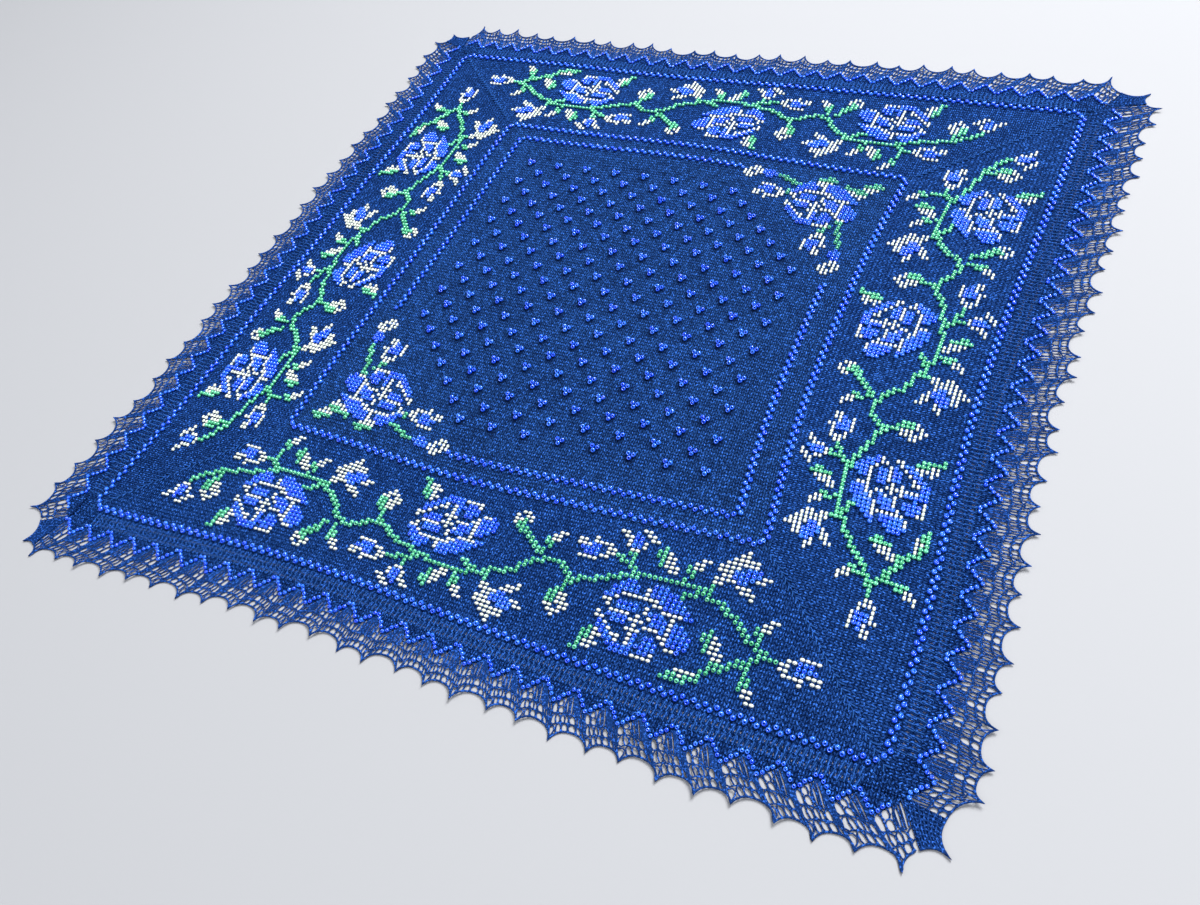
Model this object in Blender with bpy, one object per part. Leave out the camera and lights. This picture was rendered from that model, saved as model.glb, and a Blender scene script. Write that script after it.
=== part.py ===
"""A square knitted lace shawl with beads, laid out flat on a surface.

The cloth is one thin wall in the pieces that a knitter makes: a centre panel, four mitred border
panels, four lengths of scalloped lace edging and four dense corner gussets. The bead frames and the
beaded zigzag are raised lines on that wall, and the largest gaps of the lace are cut through it.

Metres, +Z up. The origin is the middle of the shawl on the surface that it lies on. +X is to the
right and +Y away from the near side.
"""

import math

import bmesh
import bpy
from mathutils import Vector
from mathutils.geometry import delaunay_2d_cdt

# Driving sizes
CLOTH = 0.0015              # thickness of the knitted wall
BEAD_RISE = 0.0022          # height of a bead line above the wall
BEAD_LINE_WIDTH = 0.0072    # two rows of beads
OUTER_LINE = 0.450          # half side of the square that the outer bead line makes
INNER_LINE = 0.285          # half side of the inner bead line
CENTRE_LINE = {"near": 0.259, "right": 0.2525, "far": 0.259, "left": 0.2525}  # its four sides
LINE_MARGIN = 0.006         # cloth beyond a bead line up to the seam
SPRAY_GAP = 0.174           # length of centre line left out each way from a rose corner
SEAM = 0.0003               # gap between neighbouring pieces

REPEATS = 29                # zigzags, and points, on one side
ZIGZAG_HALF = 0.4676        # the zigzag runs this far each way from the middle of its side
ZIGZAG_INNER = 0.0255       # inner turns of the zigzag, outwards from the outer bead line
ZIGZAG_OUTER = 0.0410       # outer turns
ZIGZAG_WIDTH = 0.0040
POINT_DEPTH = 0.34          # depth of the scallop between two tips, as a share of their distance
POINT_WIDTH = 0.0026
GUSSET_ROOT = 0.0200        # inner corner of a gusset, from the outer bead line both ways

PEAK_GAP = (0.0400, 0.0085, 0.0130)   # large gap under an inner turn: outwards, width, height
POINT_GAP = (0.0165, 0.0052, 0.0070)  # small gap at a point's root: inwards of its tip, width, height
CORNER_STRETCH = 0.006      # extra reach of the points nearest to a corner

SIDES = ("near", "right", "far", "left")
SEAM_STATIONS = 12          # straight stretches along one seam of a side
MITRE_STATIONS = 5
SCALLOP_STEPS = 6           # even, so that one lies in the middle of a scallop

POINTS = {
    # side: how far its tips lean at its start, middle and end, and how far out they reach
    "near": (-0.028, 0.000, 0.032, 0.0745),
    "right": (-0.006, 0.009, 0.023, 0.0765),
    "far": (-0.016, -0.002, 0.010, 0.0735),
    "left": (-0.023, 0.000, 0.025, 0.0730),
}

CORNER_TIPS = {
    # side at whose end it lies: how far beyond the outer bead line along the side, and outwards
    "near": (0.067, 0.056),
    "right": (0.055, 0.067),
    "far": (0.055, 0.052),
    "left": (0.068, 0.052),
}

# Where the laid-out square is off true: a place, how far the pull reaches, and its movement
PULLS = (
    # x, y, reach, move_x, move_y
    (-0.08, 0.05, 0.220, -0.0120, 0.0000),
    (0.36, -0.04, 0.180, -0.0190, 0.0000),
    (0.28, 0.20, 0.120, -0.0090, 0.0000),
    (-0.30, -0.20, 0.100, -0.0050, 0.0000),
    (-0.28, 0.28, 0.110, -0.0060, 0.0110),
    (-0.02, 0.28, 0.120, 0.0000, 0.0180),
    (0.31, -0.30, 0.080, 0.0080, 0.0100),
    (-0.06, -0.28, 0.100, 0.0000, -0.0120),
    (0.31, -0.50, 0.100, 0.0000, -0.0040),
    (-0.12, -0.46, 0.130, 0.0000, 0.0110),
    (-0.08, 0.47, 0.150, 0.0000, -0.0140),
    (-0.44, -0.45, 0.080, -0.0030, -0.0050),
    (-0.42, 0.45, 0.110, -0.0040, -0.0060),
    (-0.50, 0.30, 0.120, 0.0085, 0.0000),
    (-0.50, 0.00, 0.120, 0.0085, 0.0000),
    (-0.50, -0.30, 0.120, 0.0085, 0.0000),
)

COLOURS = {
    "centre": (0.010, 0.035, 0.160),
    "border": (0.012, 0.042, 0.185),
    "edging": (0.008, 0.026, 0.120),
    "gusset": (0.007, 0.022, 0.100),
}


def material(slot):
    """Matt knitted yarn in the slot's colour."""
    made = bpy.data.materials.get(slot) or bpy.data.materials.new(slot)
    made.use_nodes = True
    shader = made.node_tree.nodes["Principled BSDF"]
    shader.inputs["Base Color"].default_value = (*COLOURS[slot], 1.0)
    shader.inputs["Roughness"].default_value = 0.85
    shader.inputs["Metallic"].default_value = 0.0
    return made


def on_side(side, along, out):
    """Point of the true square: along a side from its middle, out from the shawl's middle."""
    x, y = along, -out
    for _ in range(SIDES.index(side)):
        x, y = -y, x
    return Vector((x, y))


def settled(point):
    """The same point where the hand-laid cloth has it."""
    moved = Vector(point)
    for x, y, reach, move_x, move_y in PULLS:
        share = math.exp(-((point[0] - x) ** 2 + (point[1] - y) ** 2) / (2 * reach ** 2))
        moved += Vector((move_x, move_y)) * share
    return moved


def spread(low, high, steps):
    """Evenly spaced values from low to high, both included."""
    return [low + (high - low) * step / steps for step in range(steps + 1)]


def anticlockwise(loop):
    """The loop, turned round if it runs clockwise."""
    area = sum(first.cross(second) for first, second in zip(loop, [*loop[1:], loop[0]]))
    return loop if area > 0 else loop[::-1]


def cloth_piece(name, slot, outline, gaps=(), raised=()):
    """A flat wall with the outline, cut through at the gaps and higher inside the raised loops.

    Where raised loops lie in one another, the ring between them is the raised part.
    """
    loops = [outline, *gaps, *raised]
    points = []
    faces = []
    for loop in loops:
        faces.append(list(range(len(points), len(points) + len(loop))))
        points.extend(settled(point) for point in anticlockwise(loop))
    first_raised = 1 + len(gaps)
    flat = delaunay_2d_cdt(points, [], faces, 1, 1e-7)
    corners, triangles, inside = flat[0], flat[2], flat[5]

    mesh = bmesh.new()
    corner_verts = [mesh.verts.new((corner.x, corner.y, 0.0)) for corner in corners]
    for triangle, owners in zip(triangles, inside):
        if 0 not in owners or any(0 < owner < first_raised for owner in owners):
            continue
        face = mesh.faces.new([corner_verts[index] for index in triangle])
        face.material_index = sum(owner >= first_raised for owner in owners) % 2
    loose = [vert for vert in mesh.verts if not vert.link_faces]
    bmesh.ops.delete(mesh, geom=loose, context="VERTS")

    raise_faces(mesh, list(mesh.faces), CLOTH)
    top = [face for face in mesh.faces if face.calc_center_median().z > CLOTH * 0.9]
    lines = [face for face in top if face.material_index == 1]
    raise_faces(mesh, lines, BEAD_RISE)
    bmesh.ops.delete(mesh, geom=lines, context="FACES_ONLY")
    for face in mesh.faces:
        face.material_index = 0
    bmesh.ops.recalc_face_normals(mesh, faces=mesh.faces)

    data = bpy.data.meshes.new(name)
    mesh.to_mesh(data)
    mesh.free()
    data.materials.append(material(slot))
    piece = bpy.data.objects.new(name, data)
    bpy.context.scene.collection.objects.link(piece)
    return piece


def raise_faces(mesh, faces, height):
    """Extrude the faces straight up."""
    if not faces:
        return
    made = bmesh.ops.extrude_face_region(mesh, geom=faces)["geom"]
    verts = [part for part in made if isinstance(part, bmesh.types.BMVert)]
    bmesh.ops.translate(mesh, verts=verts, vec=(0.0, 0.0, height))


def square_loop(half):
    """A square round the middle, with evenly spaced points on each side."""
    loop = []
    for side in SIDES:
        run = spread(-half, half, SEAM_STATIONS)[:-1]
        loop.extend(on_side(side, along, half) for along in run)
    return loop


def corner_strip(side, start, end):
    """The centre line round the corner at the end of a side, from start to the next side's end."""
    next_side = neighbour(side, 1)

    def edge(shift):
        """One edge of the strip, shifted outwards from the line's middle."""
        out = CENTRE_LINE[side] + shift
        next_out = CENTRE_LINE[next_side] + shift
        path = [on_side(side, along, out) for along in spread(start, next_out, SEAM_STATIONS)]
        next_run = spread(-out, end, SEAM_STATIONS)[1:]
        return path + [on_side(next_side, along, next_out) for along in next_run]

    return edge(BEAD_LINE_WIDTH / 2) + edge(-BEAD_LINE_WIDTH / 2)[::-1]


def centre_panel():
    """The plain middle with the frames of the inner and the centre line."""
    half_width = BEAD_LINE_WIDTH / 2
    frames = [square_loop(INNER_LINE + half_width), square_loop(INNER_LINE - half_width)]
    for side in ("near", "far"):
        start = SPRAY_GAP - CENTRE_LINE["right"]
        end = CENTRE_LINE["far"] - SPRAY_GAP
        frames.append(corner_strip(side, start, end))
    cloth_piece("centre_panel", "centre", square_loop(INNER_LINE + LINE_MARGIN), raised=frames)


def border_panel(side):
    """One mitred side of the border, with the outer bead line along its outer seam."""
    mitre = SEAM / math.sqrt(2)
    inner = INNER_LINE + LINE_MARGIN + SEAM
    outer = OUTER_LINE + LINE_MARGIN
    half_width = BEAD_LINE_WIDTH / 2

    def band(low, high):
        """A mitred band between two distances from the middle."""
        steps = SEAM_STATIONS
        loop = [on_side(side, along, low) for along in spread(low - mitre, mitre - low, steps)]
        for out in spread(low, high, MITRE_STATIONS)[1:-1]:
            loop.append(on_side(side, mitre - out, out))
        loop += [on_side(side, along, high) for along in spread(mitre - high, high - mitre, steps)]
        for out in spread(high, low, MITRE_STATIONS)[1:-1]:
            loop.append(on_side(side, out - mitre, out))
        return loop

    def line(low, high):
        """The bead line, which stops just short of the mitre."""
        steps = SEAM_STATIONS
        end = low - half_width
        loop = [on_side(side, along, low) for along in spread(end, -end, steps)]
        loop += [on_side(side, along, high) for along in spread(-end, end, steps)]
        return loop

    raised = [line(OUTER_LINE - half_width, OUTER_LINE + half_width)]
    cloth_piece(f"border_{side}", "border", band(inner, outer), raised=raised)


def side_tip(side, repeat):
    """Tip of one point of a side, uneven in lean and length as pulled out by hand."""
    pitch = 2 * ZIGZAG_HALF / REPEATS
    along = -ZIGZAG_HALF + (repeat + 0.5) * pitch
    start, middle, end, reach = POINTS[side]
    share = 2 * repeat / (REPEATS - 1)
    lean = start + (middle - start) * share if share < 1 else middle + (end - middle) * (share - 1)
    beat = repeat * 2.3 + SIDES.index(side) * 1.7
    lean += 0.0022 * math.sin(beat)
    reach += 0.0028 * math.sin(beat * 1.9 + 0.6) + CORNER_STRETCH * abs(share - 1) ** 8
    return on_side(side, along + lean, OUTER_LINE + reach)


def side_tips(side):
    """Tips of a side's points in a row."""
    return [side_tip(side, repeat) for repeat in range(REPEATS)]


def corner_tip(side):
    """Tip of the long point on the gusset at the end of a side."""
    along, out = CORNER_TIPS[side]
    return on_side(side, OUTER_LINE + along, OUTER_LINE + out)


def neighbour(side, steps):
    """The side a number of steps further round."""
    return SIDES[(SIDES.index(side) + steps) % 4]


def scallop(start, end):
    """Points of the concave edge from one tip to the next, anticlockwise round the shawl."""
    run = (end - start).normalized()
    inwards = Vector((-run.y, run.x))
    depth = POINT_DEPTH * (end - start).length
    first = start + run * POINT_WIDTH / 2
    last = end - run * POINT_WIDTH / 2
    curve = []
    for share in spread(0.0, 1.0, SCALLOP_STEPS):
        drop = depth * (1 - abs(2 * share - 1) ** 2.6) ** 0.68
        curve.append(first.lerp(last, share) + inwards * drop)
    return curve


def gusset_seam(side, start, end, gusset_first):
    """Both ends of the seam between a gusset and the edging, and the edge either side of it.

    It runs from the gusset's root at the end of the side to the middle of the scallop between
    the tips. Gives the edging's root and edge, then the gusset's root and edge.
    """
    root = on_side(side, OUTER_LINE + GUSSET_ROOT, OUTER_LINE + GUSSET_ROOT)
    edge = scallop(start, end)
    middle = SCALLOP_STEPS // 2
    before, after = edge[:middle + 1], edge[middle:]
    run = (edge[middle] - root).normalized()
    shift = Vector((-run.y, run.x)) * SEAM / 2
    before[-1] = before[-1] - shift
    after[0] = after[0] + shift
    if gusset_first:
        return root + shift, after, root - shift, before
    return root - shift, before, root + shift, after


def oval(side, centre, width, height, corners):
    """A gap with the given number of corners round a centre, its height pointing outwards."""
    loop = []
    for corner in range(corners):
        turn = 2 * math.pi * corner / corners
        loop.append(centre + on_side(side, width / 2 * math.sin(turn), height / 2 * math.cos(turn)))
    return loop


def zigzag_band(side):
    """Outline of the beaded zigzag's raised line."""
    inner = OUTER_LINE + ZIGZAG_INNER
    outer = OUTER_LINE + ZIGZAG_OUTER
    inner_edge = []
    outer_edge = []
    for turn, along in enumerate(spread(-ZIGZAG_HALF, ZIGZAG_HALF, 2 * REPEATS)):
        out = outer if turn % 2 else inner
        if turn in (0, 2 * REPEATS):
            along -= math.copysign(ZIGZAG_WIDTH, along)
        inner_edge.append(on_side(side, along, out - ZIGZAG_WIDTH / 2))
        outer_edge.append(on_side(side, along, out + ZIGZAG_WIDTH / 2))
    return inner_edge + outer_edge[::-1]


def edging(side):
    """One side of the lace edging, with its points, its gaps and the beaded zigzag."""
    inner = OUTER_LINE + LINE_MARGIN + SEAM
    half = inner - SEAM / math.sqrt(2)
    last_side = neighbour(side, -1)
    tips = side_tips(side)
    start_root, start_edge = gusset_seam(last_side, corner_tip(last_side), tips[0], True)[:2]
    end_root, end_edge = gusset_seam(side, tips[-1], corner_tip(side), False)[:2]

    outline = [on_side(side, along, inner) for along in spread(-half, half, SEAM_STATIONS)]
    outline.append(end_root)
    outline.extend(end_edge[::-1])
    for start, end in reversed(list(zip(tips, tips[1:]))):
        outline.extend(scallop(start, end)[::-1])
    outline.extend(start_edge[::-1])
    outline.append(start_root)

    gaps = []
    pitch = 2 * ZIGZAG_HALF / REPEATS
    out, width, height = PEAK_GAP
    for peak in range(1, REPEATS):
        along = -ZIGZAG_HALF + peak * pitch
        centre = on_side(side, along, OUTER_LINE + out)
        gaps.append(oval(side, centre, width, height, 6))
    inwards, width, height = POINT_GAP
    for place in tips[1:-1]:
        gaps.append(oval(side, place - on_side(side, 0.0, inwards), width, height, 4))

    cloth_piece(f"edging_{side}", "edging", outline, gaps, [zigzag_band(side)])


def gusset(side):
    """The dense corner of the edging at the end of a side, with its long point."""
    next_side = neighbour(side, 1)
    corner = corner_tip(side)
    start_edge = gusset_seam(side, side_tips(side)[-1], corner, False)[3]
    end_edge = gusset_seam(side, corner, side_tips(next_side)[0], True)[3]
    reach = OUTER_LINE + GUSSET_ROOT + SEAM
    outline = [on_side(side, reach, reach), *start_edge, *end_edge]
    cloth_piece(f"gusset_{side}_{next_side}", "gusset", outline)


def main():
    for old in list(bpy.data.objects):
        bpy.data.objects.remove(old, do_unlink=True)
    centre_panel()
    for side in SIDES:
        border_panel(side)
        edging(side)
        gusset(side)


main()
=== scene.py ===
"""A square knitted lace shawl with glass beads, laid out flat on a pale floor.

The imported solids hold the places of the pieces. This script knits them: thin walls of stocking
stitch for the panels, strands of yarn for the lace net, and glass beads, one on a stitch, in frames,
clusters and rose vines. Metres, +Z up, the origin in the middle of the shawl on the floor.
"""

import math

import bmesh
import bpy
import numpy as np
from mathutils import Matrix, Vector


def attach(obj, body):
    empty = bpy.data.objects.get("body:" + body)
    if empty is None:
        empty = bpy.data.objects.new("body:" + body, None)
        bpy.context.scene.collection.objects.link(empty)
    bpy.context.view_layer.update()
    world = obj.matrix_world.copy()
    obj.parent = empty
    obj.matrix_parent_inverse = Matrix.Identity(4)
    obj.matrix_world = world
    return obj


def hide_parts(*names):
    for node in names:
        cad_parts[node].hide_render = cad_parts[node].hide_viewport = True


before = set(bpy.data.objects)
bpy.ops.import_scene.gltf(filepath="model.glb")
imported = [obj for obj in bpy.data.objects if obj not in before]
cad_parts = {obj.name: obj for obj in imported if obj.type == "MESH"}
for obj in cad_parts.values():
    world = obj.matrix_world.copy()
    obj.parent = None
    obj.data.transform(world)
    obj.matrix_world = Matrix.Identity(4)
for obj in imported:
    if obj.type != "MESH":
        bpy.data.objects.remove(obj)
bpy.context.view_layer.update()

# The knitting
STITCH = 0.0054             # width of a stitch along its row
ROW = 0.0048                # height of a row
CLOTH = 0.0015              # thickness of the knitted wall
SEAM = 0.00005              # gap between neighbouring pieces of cloth
YARN = 0.00075              # radius of the net's yarn

# How light a stitch is: its own share, its leg's crown, which paints light on the crowns and shade
# between the legs, and its fuzz, less what is taken off their sum
OWN_SHADE = 0.34
LEG_SHADE = 0.78
FUZZ_SHADE = 0.58
SHADE_OFF = 0.58
GLINT = (0.040, 0.170, 0.700, 1)                 # colour of the painted glints: pale specks where stray fibres catch the light

# The square, half sides from the middle
OUTER_LINE = 0.450
INNER_LINE = 0.285
CENTRE_LINE = {"near": 0.259, "right": 0.2525, "far": 0.259, "left": 0.2525}
LINE_MARGIN = 0.006         # cloth beyond a bead line up to the seam
SPRAY_GAP = 0.174           # length of centre line left out each way from a rose corner
LINE_STEP = 0.0020          # the two rows of a bead line lie this far either side of it
LINE_SIZE = 1.10            # size of the beads in lines and clusters, as a share of a motif's beads
ZIGZAG_SIZE = 0.88          # and of those in the zigzags

# The mitres of the border, each a groove, drawn as a dark strand of painted shade, with stitches slanting
# off it in the lighter drawn yarn
GROOVE_END = 0.002          # the groove stops this far from both ends
GROOVE_POINTS = 24
MITRE_END = 0.004           # and the stitches this far
MITRE_PITCH = 0.0052        # from one stitch to the next
MITRE_WIDTH = 0.0026        # how far a stitch reaches off the mitre
MITRE_DOWN = np.array((-0.0015, 0.0009, 0.0021)) # a stitch's three points along the mitre
MITRE_OFF = np.array((0.0, 0.55, 1.0))           # and off it, as shares of its width
MITRE_LIFT = 0.0008         # height of the stitches' yarn over the cloth
MITRE_RISE = 0.0005         # and how much higher their middles are

# The lace edging, outwards from the outer bead line
REPEATS = 29                # zigzags, and points, on one side
ZIGZAG_HALF = 0.4676        # the zigzag runs this far each way from the middle of its side
PITCH = 2 * ZIGZAG_HALF / REPEATS                # length of one zigzag
ZIGZAG_INNER = 0.0255
ZIGZAG_OUTER = 0.0410
LADDERS = ((0.0092, 0.0122), (0.0180, 0.0210))   # start and end of each band of drawn stitches
LADDER_END = 0.436          # the drawn stitches stop this far from the middle of their side
UNDER_STRANDS = ((-0.0012, -0.0019), (0.0014, 0.0013))   # their heads and feet, sideways in a stitch
TOP_STRANDS = ((0.0004, -0.0008),)
UNDER_REACH = 0.0020        # how far they reach over the knitting on both sides of a band
TOP_REACH = 0.0030
NET_START = 0.0022          # the net begins this far outside the zigzag
POINT_DEPTH = 0.34          # depth of the scallop between two tips, as a share of their distance
GUSSET_ROOT = 0.0200        # inner corner of a gusset, both ways
CORNER_STRETCH = 0.006      # extra reach of the points nearest to a corner
UNEVEN_LEAN = 0.0022        # how much a point leans and reaches more or less than its neighbours
UNEVEN_REACH = 0.0028
POINT_ROWS = np.array((0.0, 0.28, 0.62, 1.0))    # the net's rows on the way out to a point
MIDDLE_ROWS = np.array((0.0, 0.58, 0.80, 1.0))   # and out to the middle of a scallop
NET_LIFT = 0.0011           # the net's yarn above the floor
CURLS = (0.0006, 0.0022, 0.0010, 0.0034, 0.0004, 0.0016, 0.0028)   # and its tips curl up by these

SIDES = ("near", "right", "far", "left")

POINTS = {
    # side: how far its tips lean at its start, middle and end, and how far out they reach
    "near": (-0.028, 0.000, 0.032, 0.0745),
    "right": (-0.006, 0.009, 0.023, 0.0765),
    "far": (-0.016, -0.002, 0.010, 0.0735),
    "left": (-0.023, 0.000, 0.025, 0.0730),
}

CORNER_TIPS = {
    # side at whose end it lies: how far beyond the outer bead line along the side, and outwards
    "near": (0.067, 0.056),
    "right": (0.055, 0.067),
    "far": (0.055, 0.052),
    "left": (0.068, 0.052),
}

# Where the laid-out square is off true: a place, how far the pull reaches, and its movement
PULLS = (
    # x, y, reach, move_x, move_y
    (-0.08, 0.05, 0.220, -0.0120, 0.0000),
    (0.36, -0.04, 0.180, -0.0190, 0.0000),
    (0.28, 0.20, 0.120, -0.0090, 0.0000),
    (-0.30, -0.20, 0.100, -0.0050, 0.0000),
    (-0.28, 0.28, 0.110, -0.0060, 0.0110),
    (-0.02, 0.28, 0.120, 0.0000, 0.0180),
    (0.31, -0.30, 0.080, 0.0080, 0.0100),
    (-0.06, -0.28, 0.100, 0.0000, -0.0120),
    (0.31, -0.50, 0.100, 0.0000, -0.0040),
    (-0.12, -0.46, 0.130, 0.0000, 0.0110),
    (-0.08, 0.47, 0.150, 0.0000, -0.0140),
    (-0.44, -0.45, 0.080, -0.0030, -0.0050),
    (-0.42, 0.45, 0.110, -0.0040, -0.0060),
    (-0.50, 0.30, 0.120, 0.0085, 0.0000),
    (-0.50, 0.00, 0.120, 0.0085, 0.0000),
    (-0.50, -0.30, 0.120, 0.0085, 0.0000),
)

# Soft ridges of the cloth, their direction in degrees
RIPPLES = (
    # x, y, direction, half length, half width, rise
    (0.39, -0.36, 132, 0.100, 0.020, 0.0020),
    (0.33, -0.42, 8, 0.120, 0.016, 0.0016),
    (-0.37, -0.36, 48, 0.080, 0.018, 0.0016),
    (-0.20, -0.44, 172, 0.150, 0.014, 0.0014),
    (0.05, -0.49, 4, 0.110, 0.012, 0.0018),
    (0.27, -0.50, 176, 0.070, 0.012, 0.0022),
    (0.49, -0.20, 92, 0.120, 0.013, 0.0020),
    (0.50, 0.08, 85, 0.090, 0.014, 0.0024),
    (0.49, 0.33, 95, 0.100, 0.012, 0.0018),
    (0.37, 0.40, 44, 0.090, 0.017, 0.0014),
    (-0.10, 0.49, 178, 0.140, 0.012, 0.0016),
    (-0.38, 0.38, 138, 0.090, 0.019, 0.0015),
    (-0.49, 0.12, 88, 0.130, 0.013, 0.0018),
    (-0.50, -0.22, 94, 0.090, 0.012, 0.0015),
    (0.13, -0.17, 28, 0.130, 0.030, 0.0012),
    (-0.15, 0.10, 118, 0.150, 0.034, 0.0010),
)

# The beads, and how deep they sit in the knitting
BEAD_RADIUS = 0.00240
BEAD_HALF_LENGTH = 0.00160
BEAD_HOLE = 0.00095
BEAD_SIDES = 7
BEAD_RISE = 0.00185         # a bead's middle above the cloth
BEADS = {
    # colour: size across, along its hole and in height, and how far its outer end tips up
    "blue": (1.02, 1.00, 1.04, 0.75),
    "green": (0.99, 1.02, 0.99, 0.65),
    "cream": (1.04, 0.82, 0.62, 0.12),
}

# Beads of one zigzag from inner turn to inner turn: stitches along, and rows out from the inner turn
ZIGZAG_BEADS = (
    (-0.45, 0.05), (0.40, 0.0), (0.95, 0.75), (1.65, 1.35), (2.15, 2.15), (3.0, 3.0), (3.75, 2.45),
    (4.25, 1.60), (5.0, 1.05),
)

# Clusters of three beads in the centre
CLUSTER_ROWS = range(-6, 15)    # counted from the row where their pitch changes
CLUSTER_TURN = 0.0974           # which lies this far from the middle
CLUSTER_ROW = {"far": 0.0191, "near": 0.02196}
CLUSTER_PITCH = 0.0419
CLUSTER_LEFT = -0.2114
CLUSTER_LIMIT = 0.318           # the clusters end here, right and far added up, beside the roses
CLUSTER_BEADS = ((-0.0031, 0.0008), (0.0031, 0.0), (-0.0002, -0.0048))

# Motifs, a letter for each stitch: b blue, g green, o cream. A chart's top line lies nearest to the
# middle of the shawl, and its lines run along the side.
ROSE = (
    "...bb...bbb.......",
    "..bbbb.obbbbb.....",
    ".bbbbb.obbbbbb....",
    ".bbooooooobbbbb...",
    "bbo......oobbbbb..",
    "oo.bbbb.o..oooobb.",
    ".o.bbbb.obbb.o....",
    "..oooo.o.obbbobb..",
    "o.bbbbooo.bbbobbb.",
    "oo.bbb.o.ooobobbbb",
    ".bo...ooo...oobbbb",
    ".bbo...ob.bb.obbbb",
    "..bboo.ob.bbb.oob.",
    "...bbo.obbbbb.....",
    "....bbbbb.bbo.....",
    ".....bbbboooo.....",
)
BLOOM = (
    "....o.....",
    "...oo.....",
    "..ooooo...",
    ".oooooo...",
    "oooo.bbb..",
    "ooobbbbboo",
    ".oobbbboo.",
    "oooobb....",
    "oo..ooo...",
    ".....ooo..",
    ".......o..",
)
OPEN_BUD = (
    "....oo..",
    "oo.b.oo.",
    ".oobb.oo",
    "..obbo..",
    "..obbo..",
    "...oo...",
)
BUD = (
    "...o....",
    "oo.oooo.",
    "ooobb.oo",
    ".bbbb.oo",
    "..bbboo.",
    ".oooo...",
)
LEAF = (
    ".g...",
    "ggo..",
    "ggoo.",
    ".goo.",
    ".gooo",
    "...oo",
)
SIDE_LEAF = (
    "..go.",
    ".ggoo",
    ".ggo.",
    ".gooo",
    ".goo.",
    "gg...",
)
BROAD_LEAF = (
    "..o..",
    ".ooo.",
    "oo.oo",
    "ggooo",
    "ggoo.",
    "ggoo.",
    ".gg..",
)
STALK_LEAF = (
    ".oo..",
    "o.oo.",
    "oogo.",
    "ogg..",
    ".ggg.",
    "..ggg",
)
LYING_LEAF = (
    "..oooo.",
    ".ggoggg",
    "ggggg..",
)
SHOOT = (
    "..oo",
    ".oo.",
    "goo.",
    "gg..",
    ".g..",
)
CLOSED_BUD = (
    "..oo.....",
    ".oooobbb.",
    "oo.oobbbb",
    "oooo..bb.",
    ".oo......",
)
LETTERS = {"b": "blue", "g": "green", "o": "cream"}

# The vine of a side, counted in stitches along the side and rows out from the shawl's middle
VINE = (
    (-66, 81), (-65, 79), (-61, 76), (-55, 75), (-49, 73), (-47, 72), (-39, 72), (-36, 73), (-32, 76),
    (-29, 80), (-27, 81), (-24, 80), (-20, 77), (-16, 80), (-9, 82), (-4, 83), (2, 83), (4, 82), (8, 80),
    (11, 79), (13, 76), (16, 74), (19, 74), (22, 77), (25, 76), (32, 73), (35, 72), (43, 72), (45, 73),
    (49, 74), (54, 78), (58, 81), (62, 82),
)
STEMS = (
    # from stitch and row, to stitch and row
    (-52, 70, -48, 72), (-50, 67, -50, 71), (-41, 71, -41, 72), (-40, 75, -37, 74), (-36, 72, -35, 71),
    (-60, 77, -60, 78), (-30, 82, -32, 85), (-28, 82, -28, 84), (-20, 75, -20, 77), (-14, 85, -8, 83),
    (-10, 85, -10, 86), (1, 84, 1, 85), (1, 80, 4, 82), (6, 82, 7, 83), (11, 70, 14, 73),
    (15, 72, 15, 73), (23, 78, 22, 79), (29, 69, 33, 72), (31, 68, 32, 70), (42, 71, 42, 72),
    (42, 75, 45, 73), (46, 73, 47, 71), (58, 79, 58, 81), (60, 82, 51, 89), (54, 87, 52, 85),
    (57, 84, 58, 87),
)
SPRIGS = (
    # chart, first stitch, first row, and where one of them is True: mirrored, flipped
    (ROSE, -53, 74),
    (ROSE, -13, 65, False, True),
    (ROSE, 30, 74),
    (OPEN_BUD, -70, 82, False, True),
    (BROAD_LEAF, -62, 79, False, True),
    (SIDE_LEAF, -55, 86),
    (BUD, -60, 68, False, True),
    (SHOOT, -50, 62),
    (LEAF, -46, 65),
    (SHOOT, -41, 66),
    (BLOOM, -35, 63),
    (STALK_LEAF, -35, 85, False, True),
    (SHOOT, -28, 84, False, True),
    (BROAD_LEAF, -22, 68),
    (SIDE_LEAF, -15, 62, False, True),
    (BUD, -22, 83, False, True),
    (OPEN_BUD, -14, 87, True, True),
    (LEAF, -5, 84, False, True),
    (SHOOT, 1, 85, False, True),
    (BLOOM, 7, 82, False, True),
    (STALK_LEAF, 7, 64),
    (SHOOT, 15, 67),
    (BROAD_LEAF, 20, 80, False, True),
    (BUD, 21, 66),
    (OPEN_BUD, 28, 62),
    (SIDE_LEAF, 28, 86),
    (LEAF, 36, 65),
    (SHOOT, 42, 66),
    (BLOOM, 47, 62),
    (LEAF, 49, 80),
    (SHOOT, 57, 75),
    (BUD, 63, 80, True, True),
    (SHOOT, 58, 87, False, True),
    (LYING_LEAF, 45, 89),
)
VINE_FITS = {
    # side: mirrored, how close its stitches lie, and how many stitches along it starts
    "near": (False, 1.000, 0.0),
    "right": (True, 0.940, 1.7),
    "far": (False, 0.980, 1.0),
    "left": (True, 0.955, -1.0),
}

# The spray in a corner of the centre, in stitches right and rows towards the viewer of its middle
SPRAY_STEMS = (
    # from stitch and row, to stitch and row
    (24, -53, 31, -50),
    (27, -47, 30, -49),
    (43, -40, 46, -30),
    (42, -37, 40, -34),
)
SPRAY_SPRIGS = (
    # chart, first stitch, first row, and where one of them is True: mirrored, flipped
    (ROSE, 29, -52),
    (CLOSED_BUD, 15, -55),
    (BUD, 20, -49, False, True),
)
SPRAY_UPRIGHTS = (
    # the same for charts set upright, their lines running outwards
    (CLOSED_BUD, 44, -29, True, True),
    (BUD, 38, -34, True, True),
    (LEAF, 33, -55, True, False),
    (SIDE_LEAF, 41, -53, True, False),
    (LEAF, 44, -55, True, False),
)


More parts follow.
